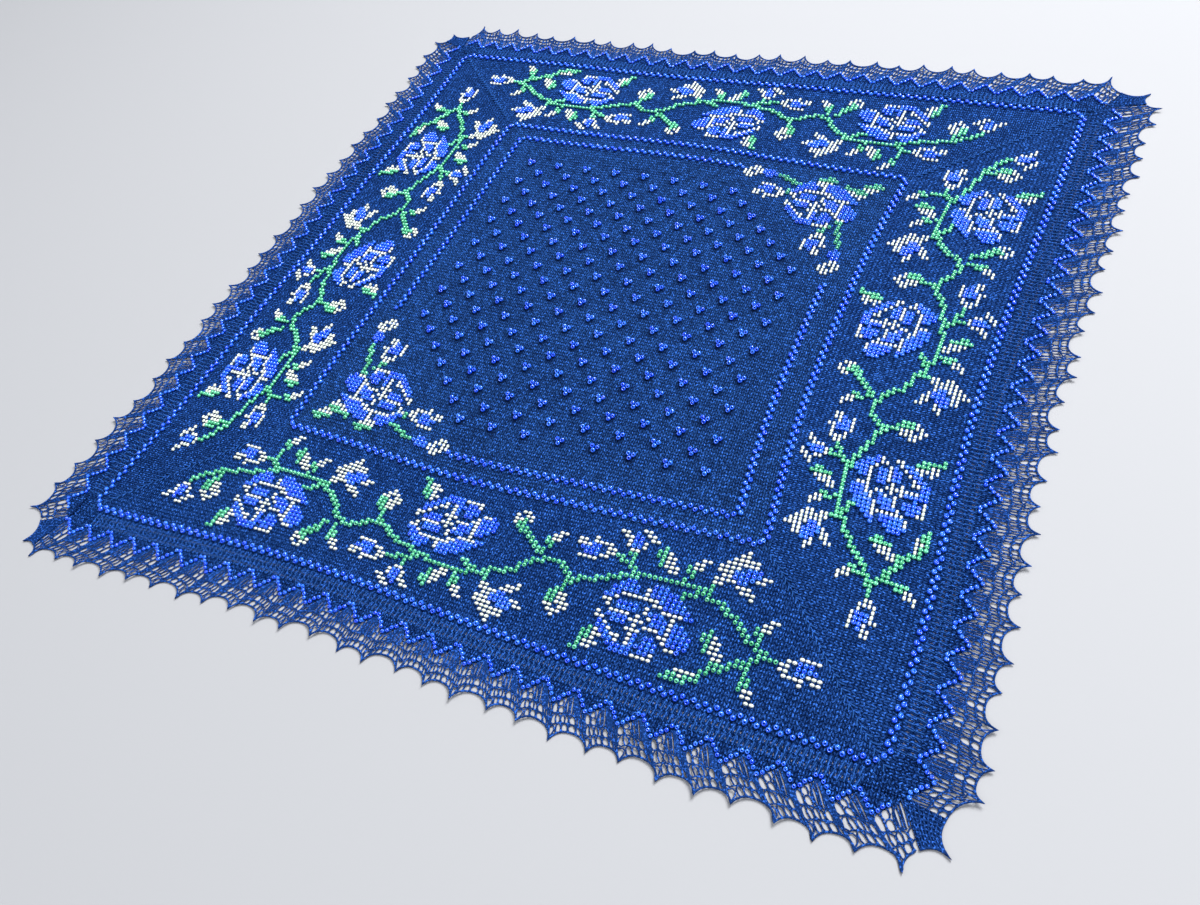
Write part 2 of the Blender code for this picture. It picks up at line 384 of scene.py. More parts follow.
def on_side(side, along, out):
    """Places of the true square: along a side from its middle, out from the shawl's middle."""
    x, y = np.broadcast_arrays(np.asarray(along, float), -np.asarray(out, float))
    for _ in range(SIDES.index(side)):
        x, y = -y, x
    return np.stack((x, y), axis=-1)


def from_side(side, places):
    """How far places of the true square lie along a side, and how far out."""
    x, y = places[..., 0], places[..., 1]
    for _ in range(SIDES.index(side)):
        x, y = y, -x
    return x, -y


def neighbour(side, steps):
    """The side a number of steps further round."""
    return SIDES[(SIDES.index(side) + steps) % 4]


def settled(places):
    """The same places where the hand-laid cloth has them."""
    moved = np.array(places, float)
    for x, y, reach, move_x, move_y in PULLS:
        gap = (places[..., 0] - x) ** 2 + (places[..., 1] - y) ** 2
        moved += np.exp(-gap / (2 * reach**2))[..., None] * np.array((move_x, move_y))
    return moved


def ripple(places):
    """Height of the cloth's underside above the floor."""
    height = np.zeros(places.shape[:-1])
    for x, y, direction, half_length, half_width, rise in RIPPLES:
        turn = math.radians(direction)
        off_x, off_y = places[..., 0] - x, places[..., 1] - y
        down = off_x * math.cos(turn) + off_y * math.sin(turn)
        across = off_y * math.cos(turn) - off_x * math.sin(turn)
        height += rise * np.exp(-((down / half_length) ** 2) - (across / half_width) ** 2)
    return height


def laid(places, lift):
    """Points in space for places of the true square, a lift above the cloth's underside."""
    height = ripple(places) + lift
    return np.concatenate((settled(places), height[..., None]), axis=-1)


def placed(name, data):
    """A new object in the scene."""
    made = bpy.data.objects.new(name, data)
    bpy.context.scene.collection.objects.link(made)
    return made


def data_of(mesh, name):
    """Mesh data with what was built in a bmesh, which is freed."""
    data = bpy.data.meshes.new(name)
    mesh.to_mesh(data)
    mesh.free()
    return data


def finished_mesh(source, name):
    """The mesh of an object once its bevel or modifiers are worked out. The object is removed."""
    bpy.context.view_layer.update()
    evaluated = source.evaluated_get(bpy.context.evaluated_depsgraph_get())
    data = bpy.data.meshes.new_from_object(evaluated)
    data.name = name
    bpy.data.objects.remove(source)
    return data


def new_piece(name, data, material):
    """A finished piece of the shawl, in the body that the whole shawl is."""
    piece = placed(name, data)
    data.materials.clear()
    data.materials.append(MATERIALS[material])
    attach(piece, "root")
    return piece


# ---------------------------------------------------------------- materials


def plug(tree, socket, value):
    """Link a socket to another one, or set its value."""
    if isinstance(value, bpy.types.NodeSocket):
        tree.links.new(value, socket)
    else:
        socket.default_value = value


def fill(tree, node, **values):
    """Link or set a node's inputs, given by their names with _ for a space."""
    for label, value in values.items():
        plug(tree, node.inputs[label.replace("_", " ")], value)


def maths(tree, operation, *values):
    """Output of a Math node."""
    node = tree.nodes.new("ShaderNodeMath")
    node.operation = operation
    for socket, value in zip(node.inputs, values):
        plug(tree, socket, value)
    return node.outputs["Value"]


def noise(tree, vector, scale, detail=2.0):
    """Output of a Noise Texture node, from 0 to 1."""
    node = tree.nodes.new("ShaderNodeTexNoise")
    fill(tree, node, Vector=vector, Scale=scale, Detail=detail)
    return node.outputs["Fac"]


def mapped(tree, value, low, high, to_low=0.0, to_high=1.0):
    """A value from one range carried over to another, held at its ends."""
    node = tree.nodes.new("ShaderNodeMapRange")
    for socket, given in zip(node.inputs, (value, low, high, to_low, to_high)):
        plug(tree, socket, given)
    return node.outputs["Result"]


def blended(tree, share, first, second):
    """A colour between two."""
    node = tree.nodes.new("ShaderNodeMix")
    node.data_type = "RGBA"
    fill(tree, node, Factor=share, A=first, B=second)
    return node.outputs["Result"]


def new_group(name, inputs, outputs, kind_of_tree="ShaderNodeTree"):
    """A node group with sockets of given names and kinds. Gives it, its inputs and its outputs."""
    group = bpy.data.node_groups.new(name, kind_of_tree)
    for way, sockets in (("INPUT", inputs), ("OUTPUT", outputs)):
        for label, kind in sockets.items():
            group.interface.new_socket(label, in_out=way, socket_type=f"NodeSocket{kind}")
    given = group.nodes.new("NodeGroupInput").outputs
    result = group.nodes.new("NodeGroupOutput").inputs
    return group, given, result


def stocking_stitch():
    """Knitting in stocking stitch: each stitch is two slanting legs of yarn. Its shade is painted light
    on the legs' crowns and painted shade between them, with each stitch's own tone and its fuzz.
    """
    group, given, result = new_group(
        "stocking_stitch",
        {"Stitches": "Vector", "Unevenness": "Float"},
        {"Height": "Float", "Shade": "Float"},
    )
    stray = noise(group, given["Stitches"], 0.55)
    stray = maths(group, "MULTIPLY", maths(group, "SUBTRACT", stray, 0.5), given["Unevenness"])
    parts = group.nodes.new("ShaderNodeSeparateXYZ")
    plug(group, parts.inputs[0], given["Stitches"])
    across = maths(group, "PINGPONG", maths(group, "ADD", parts.outputs["X"], stray), 0.5)
    off_leg = maths(group, "DIVIDE", maths(group, "SUBTRACT", across, 0.25), 0.25)
    crown = maths(group, "SUBTRACT", 1.0, maths(group, "MULTIPLY", off_leg, off_leg))
    up = maths(group, "MULTIPLY_ADD", across, 1.15, parts.outputs["Y"])
    up = maths(group, "ADD", up, stray)
    lobe = maths(group, "SINE", maths(group, "MULTIPLY", maths(group, "FRACT", up), math.pi))
    leg = maths(group, "SQRT", maths(group, "MAXIMUM", maths(group, "MULTIPLY", crown, lobe), 0.0))

    cell = group.nodes.new("ShaderNodeCombineXYZ")
    twice = maths(group, "MULTIPLY", parts.outputs["X"], 2.0)
    plug(group, cell.inputs["X"], maths(group, "FLOOR", twice))
    plug(group, cell.inputs["Y"], maths(group, "FLOOR", up))
    own = group.nodes.new("ShaderNodeTexWhiteNoise")
    own.noise_dimensions = "2D"
    plug(group, own.inputs["Vector"], cell.outputs[0])

    fuzz = noise(group, given["Stitches"], 4.5, 3.0)
    plug(group, result["Height"], maths(group, "MULTIPLY_ADD", fuzz, 0.6, leg))
    grain = mapped(group, fuzz, 0.34, 0.66)
    shade = maths(group, "MULTIPLY", own.outputs["Value"], OWN_SHADE)
    # painted light on the crowns of the legs and painted shade between them
    shade = maths(group, "MULTIPLY_ADD", leg, LEG_SHADE, shade)
    shade = maths(group, "MULTIPLY_ADD", grain, FUZZ_SHADE, shade)
    plug(group, result["Shade"], maths(group, "SUBTRACT", shade, SHADE_OFF))
    return group


def cluster_hollows_and_shade():
    """The thin places where the cloth is drawn in beside each cluster of beads, and the shade its beads
    throw there: both painted as darker cloth.
    """
    group, given, result = new_group("cluster_hollows_and_shade", {"Stitches": "Vector"}, {"Hollow_and_shade": "Float"})
    parts = group.nodes.new("ShaderNodeSeparateXYZ")
    plug(group, parts.inputs[0], given["Stitches"])
    x = maths(group, "MULTIPLY", parts.outputs["X"], STITCH)
    y = maths(group, "MULTIPLY", parts.outputs["Y"], ROW)
    across, far_pitch, near_pitch = CLUSTER_PITCH, CLUSTER_ROW["far"], CLUSTER_ROW["near"]
    below = maths(group, "SUBTRACT", CLUSTER_TURN - 0.004, y)
    far_rows = maths(group, "DIVIDE", maths(group, "MINIMUM", below, 0.0), far_pitch)
    near_rows = maths(group, "DIVIDE", maths(group, "MAXIMUM", below, 0.0), near_pitch)
    rows = maths(group, "ADD", far_rows, near_rows)
    row = maths(group, "ROUND", rows)
    columns = maths(group, "DIVIDE", maths(group, "SUBTRACT", x, CLUSTER_LEFT), across)
    columns = maths(group, "MULTIPLY_ADD", row, -0.5, columns)
    off_x = maths(group, "SUBTRACT", maths(group, "FRACT", maths(group, "ADD", columns, 0.5)), 0.5)
    off_x = maths(group, "MULTIPLY", off_x, across)
    off_y = maths(group, "MULTIPLY", maths(group, "SUBTRACT", rows, row), near_pitch)
    off_x = maths(group, "MULTIPLY", off_x, off_x)
    off = maths(group, "SQRT", maths(group, "MULTIPLY_ADD", off_y, off_y, off_x))
    # How dark the painted shade is: full near a cluster, fading out by 9.5 mm from it
    hollow_and_shade = mapped(group, off, 0.0035, 0.0095, 1.0, 0.0)
    for value, limit in ((x, 0.222), (y, 0.225), (maths(group, "ADD", x, y), CLUSTER_LIMIT)):
        inside = maths(group, "LESS_THAN", maths(group, "ABSOLUTE", value), limit)
        hollow_and_shade = maths(group, "MULTIPLY", hollow_and_shade, inside)
    plug(group, result["Hollow_and_shade"], hollow_and_shade)
    return group


def wool_colour():
    """Navy wool between its deep and crown colours, which paint shade in the knitting's depths and light
    on its crowns, with pale specks on the lighter parts: painted glints of stray fibres catching the
    light.
    """
    group, given, result = new_group(
        "wool_colour",
        {"Place": "Vector", "Shade": "Float", "Deep": "Color", "Crown": "Color", "Glint": "Color"},
        {"Color": "Color"},
    )
    cloud = mapped(group, noise(group, given["Place"], 9.0, 3.0), 0.3, 0.7, 0.80, 1.15)
    shade = maths(group, "MULTIPLY", given["Shade"], cloud)
    # painted shade in the depths, painted light on the crowns
    wool = blended(group, shade, given["Deep"], given["Crown"])
    # Painted highlights: pale specks where stray fibres catch the light, only where the shade is light
    fibre_glint = mapped(group, noise(group, given["Place"], 480.0, 2.0), 0.52, 0.64)
    fibre_glint = maths(group, "MULTIPLY", fibre_glint, mapped(group, given["Shade"], 0.20, 0.70))
    plug(group, result["Color"], blended(group, fibre_glint, wool, given["Glint"]))
    return group


def group_node(tree, group, **values):
    """A node group placed in a tree, its inputs given by name."""
    node = tree.nodes.new("ShaderNodeGroup")
    node.node_tree = group
    fill(tree, node, **values)
    return node.outputs


def new_material(name, **finish):
    """A material, its tree and its shader, whose inputs are given by name."""
    made = bpy.data.materials.new(name)
    made.use_nodes = True
    tree = made.node_tree
    shader = tree.nodes["Principled BSDF"]
    fill(tree, shader, **finish)
    return made, tree, shader


def bump(tree, shader, height, strength, distance):
    """Relief in a material's normals."""
    node = tree.nodes.new("ShaderNodeBump")
    fill(tree, node, Strength=strength, Distance=distance, Height=height)
    plug(tree, shader.inputs["Normal"], node.outputs["Normal"])


def make_woollen(tree, shader, place, shade, deep, crown):
    """The look of wool: its colour for a shade, which for knitting paints shade in the depths and light
    on the crowns, on a dull surface with a faint blue bloom.
    """
    wool = group_node(tree, GROUPS["wool"], Place=place, Shade=shade, Deep=deep, Crown=crown, Glint=GLINT)
    fill(tree, shader, Base_Color=wool["Color"], Specular_IOR_Level=0.03, Sheen_Weight=0.04)
    fill(tree, shader, Sheen_Roughness=0.4, Sheen_Tint=(0.0, 0.25, 1.0, 1.0))


def knitted(name, deep, crown, unevenness, clusters=False):
    """Knitted cloth, its stitches read from the piece's UV map."""
    made, tree, shader = new_material(name, Roughness=0.85)
    stitches = tree.nodes.new("ShaderNodeUVMap")
    stitches.uv_map = "stitches"
    place = tree.nodes.new("ShaderNodeTexCoord").outputs["Object"]
    knit = group_node(tree, GROUPS["stitch"], Stitches=stitches.outputs["UV"], Unevenness=unevenness)
    shade = knit["Shade"]
    if clusters:
        # Painted shade: the cloth is darker round each cluster, for its thin places and the shade its
        # beads throw
        drawn = group_node(tree, GROUPS["hollows_and_shade"], Stitches=stitches.outputs["UV"])
        shade = maths(tree, "MULTIPLY", shade, mapped(tree, drawn["Hollow_and_shade"], 0.0, 1.0, 1.0, 0.25))
    make_woollen(tree, shader, place, shade, deep, crown)
    bump(tree, shader, knit["Height"], 1.0, 0.0014)
    return made


def strand(name, deep, crown):
    """Single yarn, fuzzy, its colour changing at random between its darker and its lighter tone."""
    made, tree, shader = new_material(name, Roughness=0.80)
    place = tree.nodes.new("ShaderNodeTexCoord").outputs["Object"]
    fuzz = noise(tree, place, 900.0, 3.0)
    make_woollen(tree, shader, place, fuzz, deep, crown)
    bump(tree, shader, fuzz, 0.6, 0.0004)
    return made


def glass(name, deep, pale):
    """Glass beads, each a little different in depth of colour."""
    made, tree, shader = new_material(
        name, Roughness=0.12, Coat_Weight=1.0, Coat_Roughness=0.04, Specular_IOR_Level=0.7
    )
    own = tree.nodes.new("ShaderNodeAttribute")
    own.attribute_name = "shade"
    fill(tree, shader, Base_Color=blended(tree, own.outputs["Fac"], deep, pale))
    return made


# ---------------------------------------------------------------- knitted walls


def add_grid(mesh, columns, rows, place, knit):
    """A grid of faces in a mesh, laid where place(u, v) has them, with knit(places) as stitches."""
    stitches = mesh.loops.layers.uv.verify()
    verts = bmesh.ops.create_grid(mesh, x_segments=columns, y_segments=rows, size=0.5)["verts"]
    shares = np.array([vert.co[:2] for vert in verts]) + 0.5
    places = place(shares[:, 0], shares[:, 1])
    counted = knit(places)
    for vert, spot, count in zip(verts, laid(places, CLOTH), counted):
        vert.co = spot
        for loop in vert.link_loops:
            loop[stitches].uv = count


def wall(name, slot, grids):
    """A thin piece in its slot's knitting, made of grids: columns, rows, place and knit of each."""
    mesh = bmesh.new()
    mesh.loops.layers.uv.new("stitches")
    for columns, rows, place, knit in grids:
        add_grid(mesh, columns, rows, place, knit)
    bmesh.ops.recalc_face_normals(mesh, faces=mesh.faces)
    if sum(face.normal.z for face in mesh.faces) < 0:
        bmesh.ops.reverse_faces(mesh, faces=mesh.faces)
    for face in mesh.faces:
        face.smooth = True
    for edge in mesh.edges:
        edge.smooth = not edge.is_boundary
    piece = new_piece(name, data_of(mesh, name), slot)
    thick = piece.modifiers.new("thickness", "SOLIDIFY")
    thick.thickness = CLOTH
    thick.offset = -1.0
    return piece


def side_stitches(side):
    """Counts the stitches of a side: along its rows and out from the shawl's middle."""

    def knit(places):
        along, out = from_side(side, places)
        return np.stack((along / STITCH, out / ROW), axis=-1)

    return knit


def centre_cloth():
    """The plain middle."""
    half = INNER_LINE + LINE_MARGIN

    def place(u, v):
        return np.stack(((2 * u - 1) * half, (2 * v - 1) * half), axis=-1)

    def knit(places):
        return places / np.array((STITCH, ROW))

    piece = wall("centre_cloth", "centre", [(64, 64, place, knit)])
    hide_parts("centre_panel")


def mitred(side, low, high):
    """Places of a mitred band between two distances from the middle."""
    seam = SEAM / math.sqrt(2)

    def place(u, v):
        out = low + (high - low) * v
        return on_side(side, (2 * u - 1) * (out - seam), out)

    return place


def border_cloth(side):
    """One mitred side of the border."""
    low = INNER_LINE + LINE_MARGIN + SEAM
    high = OUTER_LINE + LINE_MARGIN
    grid = (100, 18, mitred(side, low, high), side_stitches(side))
    piece = wall(f"border_{side}_cloth", "border", [grid])
    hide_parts(f"border_{side}")
    mitre(side, low, high)


def mitre(side, low, high):
    """The groove at the end of a side, a dark strand of painted shade, and the slanting stitches along it
    in lighter yarn, painted light.
    """
    reaches = np.linspace(low + GROOVE_END, high - GROOVE_END, GROOVE_POINTS)
    groove_shade = [laid(on_side(side, reaches, reaches), CLOTH)]
    # Painted shade: a dark strand for the shade in the mitre's groove
    painted_shade = yarn_piece(f"border_{side}_groove", "deep", groove_shade, YARN * 1.4)
    lines = []
    for index, reach in enumerate(np.arange(low + MITRE_END, high - MITRE_END, MITRE_PITCH)):
        for way in (-1, 1):
            wide = way * (MITRE_WIDTH + 0.0004 * math.sin(index * 1.9 + way))
            down, off = reach + MITRE_DOWN, wide * MITRE_OFF
            spots = laid(on_side(side, down + off, down - off), CLOTH + MITRE_LIFT)
            spots[1, 2] += MITRE_RISE
            lines.append(spots)
    return [painted_shade, yarn_piece(f"border_{side}_mitre", "drawn", lines, YARN)]


def zigzag_out(along):
    """How far outside the outer line the zigzag lies at a place along its side."""
    turn = np.abs(((along + ZIGZAG_HALF) / PITCH) % 1.0 - 0.5) * 2
    return ZIGZAG_OUTER + (ZIGZAG_INNER - ZIGZAG_OUTER) * turn


def edging_band(side):
    """The knitted bands of one side's edging, between the ladders and up to the zigzag."""
    knit = side_stitches(side)
    (first, first_end), (second, second_end) = LADDERS
    inner = OUTER_LINE + LINE_MARGIN + SEAM
    columns = 6 * REPEATS
    end = OUTER_LINE + GUSSET_ROOT

    def to_zigzag(u, v):
        """The outermost band, whose outer edge follows the zigzag."""
        along = (2 * u - 1) * end
        edge = zigzag_out(np.clip(along, -ZIGZAG_HALF, ZIGZAG_HALF)) + NET_START
        return on_side(side, along, OUTER_LINE + second_end + (edge - second_end) * v)

    def plain_end(low, high, way):
        """The knitting beyond the drawn stitches, up to the mitre."""

        def place(u, v):
            out = OUTER_LINE + low + (high - low) * v
            return on_side(side, way * (LADDER_END + (out - LADDER_END - SEAM) * u), out)

        return 8, 1, place, knit

    grids = [
        (columns, 1, mitred(side, inner, OUTER_LINE + first), knit),
        (columns, 1, mitred(side, OUTER_LINE + first_end, OUTER_LINE + second), knit),
        (2 * columns, 4, to_zigzag, knit),
        *[plain_end(*band, way) for band in LADDERS for way in (-1, 1)],
    ]
    piece = wall(f"edging_{side}_band", "edging", grids)
    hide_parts(f"edging_{side}")
    reach = ZIGZAG_OUTER + NET_START
    mean_out = (ZIGZAG_INNER + ZIGZAG_OUTER) / 2 + NET_START
    knitted_width = (first - LINE_MARGIN) + (second - first_end) + (mean_out - second_end)
    return piece, (2 * end, reach), 2 * end * knitted_width


# ---------------------------------------------------------------- yarn


def yarn_piece(name, material, lines, radius, sides=0):
    """Strands of yarn along lines of points in space, as one mesh."""
    curve = bpy.data.curves.new(name, "CURVE")
    curve.dimensions = "3D"
    curve.bevel_depth = radius
    curve.bevel_resolution = sides
    for line in lines:
        spline = curve.splines.new("POLY")
        spline.points.add(len(line) - 1)
        spline.points.foreach_set("co", np.hstack((line, np.ones((len(line), 1)))).ravel())
        spline.use_smooth = True
    data = finished_mesh(placed(name + "_line", curve), name)
    bpy.data.curves.remove(curve)
    return new_piece(name, data, material)


def side_tip(side, repeat):
    """Tip of one point of a side, uneven in lean and length as pulled out by hand."""
    along = -ZIGZAG_HALF + (repeat + 0.5) * PITCH
    start, middle, end, reach = POINTS[side]
    share = 2 * repeat / (REPEATS - 1)
    lean = start + (middle - start) * share if share < 1 else middle + (end - middle) * (share - 1)
    beat = repeat * 2.3 + SIDES.index(side) * 1.7
    lean += UNEVEN_LEAN * math.sin(beat)
    reach += UNEVEN_REACH * math.sin(beat * 1.9 + 0.6) + CORNER_STRETCH * abs(share - 1) ** 8
    return on_side(side, along + lean, OUTER_LINE + reach)


def corner_tip(side):
    """Tip of the long point on the gusset at the end of a side."""
    along, out = CORNER_TIPS[side]
    return on_side(side, OUTER_LINE + along, OUTER_LINE + out)


def heading(start, end):
    """Unit vector from one place to another."""
    return (end - start) / np.linalg.norm(end - start)


def scallop_middle(start, end):
    """The innermost place of the scallop between two tips, anticlockwise round the shawl."""
    run = end - start
    return (start + end) / 2 + np.array((-run[1], run[0])) * POINT_DEPTH


def swoop(tip, middle, run, share):
    """A place on the edge of half a scallop, share 0 at its tip and 1 at its middle."""
    step = middle - tip
    along = run * (step @ run)
    return tip + along * share + (step - along) * (1 - (1 - share) ** 2.6) ** 0.68


def net_rails(side):
    """The lines that one side's net is hung on, a scallop's middle and a point by turns.

    Each is its places on the net's four rows, the direction of its scallop, and how high its
    outer end curls up.
    """
    tips = [corner_tip(neighbour(side, -1))]
    tips += [side_tip(side, repeat) for repeat in range(REPEATS)]
    tips.append(corner_tip(side))
    rails = []
    for gap, (start, end) in enumerate(zip(tips, tips[1:])):
        along = -ZIGZAG_HALF + gap * PITCH
        root = on_side(side, along, OUTER_LINE + ZIGZAG_INNER + NET_START)
        if gap in (0, REPEATS):
            corner = OUTER_LINE + GUSSET_ROOT
            root = on_side(side, math.copysign(corner, along), corner)
        middle = scallop_middle(start, end)
        rails.append((root + (middle - root) * MIDDLE_ROWS[:, None], heading(start, end), 0.0))
        if gap < REPEATS:
            root = on_side(side, along + PITCH / 2, OUTER_LINE + ZIGZAG_OUTER + NET_START)
            curl = CURLS[(gap * 5 + SIDES.index(side) * 3) % len(CURLS)]
            rails.append((root + (end - root) * POINT_ROWS[:, None], None, curl))
    return rails


class HalfScallop:
    """The net between a point and the middle of the scallop beside it."""

    def __init__(self, point, middle):
        self.point, _, self.curl = point
        self.middle, self.run, _ = middle

    def place(self, row, share):
        """A point in space: row 0 is the zigzag and 3 the edge, share 0 the point, 1 the middle."""
        low = min(int(row), 2)
        part = row - low
        spots = []
        for level in (low, low + 1):
            if level == 0:
                spots.append(self.point[0] + (self.middle[0] - self.point[0]) * share)
            else:
                spots.append(swoop(self.point[level], self.middle[level], self.run, share))
        spot = spots[0] * (1 - part) + spots[1] * part
        outward = max(row - 1.0, 0.0) / 2
        lift = NET_LIFT + self.curl * outward**2 * (1 - share) ** 1.5
        return laid(spot, lift)

    def line(self, steps):
        """A strand through rows and shares."""
        return np.array([self.place(row, share) for row, share in steps])


# Where the chains and the edge cord have their points, in shares from a tip to a scallop's middle
CHAIN_SHARES = (0.0, 0.15, 0.35, 0.6, 0.85)
EDGE_SHARES = (0.0, 0.05, 0.14, 0.32, 0.55, 0.8)

# Loops of yarn between the zigzag, the two chains and the edge
LOOPS = (
    # top row, rows down to its foot, middle, half width
    (0.0, 1.0, 0.13, 0.13),
    (0.0, 0.46, 0.38, 0.13),
    (0.46, 0.54, 0.40, 0.14),
    (0.03, 0.97, 1.00, 0.46),
    (1.0, 1.0, 0.20, 0.20),
    (1.0, 1.0, 0.60, 0.20),
    (1.0, 1.0, 1.00, 0.20),
    (2.0, 1.0, 0.34, 0.12),
    (2.0, 1.0, 0.62, 0.16),
    (2.0, 1.0, 1.00, 0.22),
)
POSTS = (
    # top row, bottom row, its share at the top, in the middle and at the bottom
    (0.02, 0.97, 0.66, 0.63, 0.64),
    (0.02, 0.97, 0.75, 0.77, 0.73),
    (0.02, 0.97, 0.86, 0.84, 0.82),
    (0.02, 0.97, 0.95, 0.97, 0.93),
    (1.03, 1.97, 0.22, 0.18, 0.21),
    (1.03, 1.97, 0.58, 0.62, 0.60),
    (2.03, 2.95, 0.80, 0.78, 0.83),
)
POINT_LOOP = ((2.02, 0.0), (2.20, 0.13), (2.46, 0.18), (2.74, 0.13), (2.93, 0.0))


# A loop of yarn over the row above: how far down its legs, and how far out from its middle
LOOP_SHAPE = ((1.0, 0.62), (0.74, 0.97), (0.30, 0.88), (0.05, 0.36))


def loop_steps(row, depth, middle, half):
    """One loop of yarn: up one leg, over the row above and down the other."""
    up = [(row + depth * down, middle - half * out) for down, out in LOOP_SHAPE]
    if middle == 1.0:
        return [*up, (row, 1.0)]
    return up + [(step_row, 2 * middle - share) for step_row, share in reversed(up)]


def net(side):
    """The open net of one side: loops, chains, posts, the points' loops and the edge cord."""
    rails = net_rails(side)
    loops = []
    chains = {1: [], 2: []}
    edge = []
    for index, (before, after) in enumerate(zip(rails, rails[1:])):
        to_point = index % 2 == 0
        half = HalfScallop(after, before) if to_point else HalfScallop(before, after)
        loops.extend(half.line(loop_steps(*loop)) for loop in LOOPS)
        for top, bottom, *shares in POSTS:
            loops.append(half.line(zip((top, (top + bottom) / 2, bottom), shares)))
        loops.append(half.line(POINT_LOOP))
        for row, chain in chains.items():
            shares = [1 - share for share in CHAIN_SHARES] if to_point else CHAIN_SHARES
            chain.extend(half.place(row, share) for share in shares)
        shares = (1.0, *EDGE_SHARES[:0:-1]) if to_point else EDGE_SHARES
        edge.extend(half.place(3, share) for share in shares)
    chain_lines = [np.array(chain) for chain in chains.values()]
    made = yarn_piece(f"net_{side}_loops", "yarn", loops, YARN)
    rows = yarn_piece(f"net_{side}_chains", "yarn", chain_lines, YARN)
    cord = yarn_piece(f"net_{side}_edge", "yarn", [np.array(edge)], YARN * 1.3, 1)
    return [made, rows, cord]


def ladder(side):
    """The drawn stitches of one side, a strand of lighter yarn, painted light, over two of darker yarn,
    painted shade, for each stitch.
    """
    count = math.ceil(LADDER_END / STITCH)

    def strands(ends, reach, lift):
        """The strands with the given ends in every stitch of both bands."""
        lines = []
        for low, high in LADDERS:
            for stitch in range(-count, count):
                middle = (stitch + 0.5) * STITCH
                lean = 0.0004 * math.sin(stitch * 1.7 + low * 900)
                for head, foot in ends:
                    top = on_side(side, middle + head + lean, OUTER_LINE + low - reach)
                    bottom = on_side(side, middle + foot - lean, OUTER_LINE + high + reach)
                    lines.append(laid(np.array((top, bottom)), lift))
        return lines

    # Painted shade on the strands under the drawn stitches, and painted light on the strands over them
    painted_shade = strands(UNDER_STRANDS, UNDER_REACH, CLOTH * 0.8)
    pale = strands(TOP_STRANDS, TOP_REACH, CLOTH + 0.0006)
    under = yarn_piece(f"ladder_{side}_under", "deep", painted_shade, YARN * 1.3)
    return [under, yarn_piece(f"ladder_{side}", "drawn", pale, YARN)]


def edging(side):
    """One side of the lace edging."""
    piece, flat, area = edging_band(side)
    others = [*net(side), *ladder(side)]


def gusset(side):
    """The dense corner of the edging at the end of a side, with its long point."""
    next_side = neighbour(side, 1)
    name = f"{side}_{next_side}"
    corner = OUTER_LINE + GUSSET_ROOT + SEAM
    root = on_side(side, corner, corner)
    tip = corner_tip(side)
    last, first = side_tip(side, REPEATS - 1), side_tip(next_side, 0)
    start, end = scallop_middle(last, tip), scallop_middle(tip, first)
    start_run, end_run = heading(last, tip), heading(tip, first)

    def place(u, v):
        """A patch between the two seams and the two halves of scallops."""
        places = []
        for a, b in zip(u, v):
            low = root + (start - root) * a
            high = swoop(tip, end, end_run, 1 - a)
            left = root + (end - root) * b
            right = swoop(tip, start, start_run, 1 - b)
            corners = root * (1 - a) * (1 - b) + start * a * (1 - b) + end * (1 - a) * b + tip * a * b
            places.append(low * (1 - b) + high * b + left * (1 - a) + right * a - corners)
        return np.array(places)

    def knit(places):
        along, out = from_side(side, places)
        return np.stack(((along - out) / STITCH, (along + out) / ROW), axis=-1) / math.sqrt(2)

    piece = wall(f"gusset_{name}_cloth", "gusset", [(16, 16, place, knit)])
    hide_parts(f"gusset_{name}")

    shares = np.linspace(0, 1, 9)
    line = [swoop(tip, start, start_run, 1 - share) for share in shares]
    line += [swoop(tip, end, end_run, share) for share in shares[1:]]
    edge = laid(np.array(line), CLOTH)
    cord = yarn_piece(f"gusset_{name}_edge", "yarn", [edge], YARN * 1.6, 1)
    mesh_lines = []
    for share in np.linspace(0.12, 0.88, 7):
        for rails in ((shares, np.full(9, share)), (np.full(9, share), shares)):
            sway = 0.012 * np.sin(shares * 25 + share * 40)
            rails = [np.clip(rail + sway, 0.0, 1.0) for rail in rails]
            mesh_lines.append(laid(place(*rails), CLOTH + YARN * 0.3))
    strands = yarn_piece(f"gusset_{name}_net", "yarn", mesh_lines, YARN)


# ---------------------------------------------------------------- beads


def bead_shape():
    """One round glass bead, its hole along Y."""
    mesh = bmesh.new()
    profile = (
        # distance from the hole's axis, along it
        (BEAD_HOLE, -BEAD_HALF_LENGTH * 0.9),
        (BEAD_RADIUS * 0.76, -BEAD_HALF_LENGTH),
        (BEAD_RADIUS, 0.0),
        (BEAD_RADIUS * 0.76, BEAD_HALF_LENGTH),
        (BEAD_HOLE, BEAD_HALF_LENGTH * 0.9),
    )
    verts = [mesh.verts.new((radius, along, 0.0)) for radius, along in profile]
    edges = [mesh.edges.new(pair) for pair in zip(verts, verts[1:] + verts[:1])]
    bmesh.ops.spin(
        mesh,
        geom=verts + edges,
        cent=(0, 0, 0),
        axis=(0, 1, 0),
        angle=2 * math.pi,
        steps=BEAD_SIDES,
        use_merge=True,
    )
    bmesh.ops.remove_doubles(mesh, verts=mesh.verts, dist=1e-6)
    bmesh.ops.recalc_face_normals(mesh, faces=mesh.faces)
    for face in mesh.faces:
        face.smooth = True
    return placed("bead", data_of(mesh, "bead"))


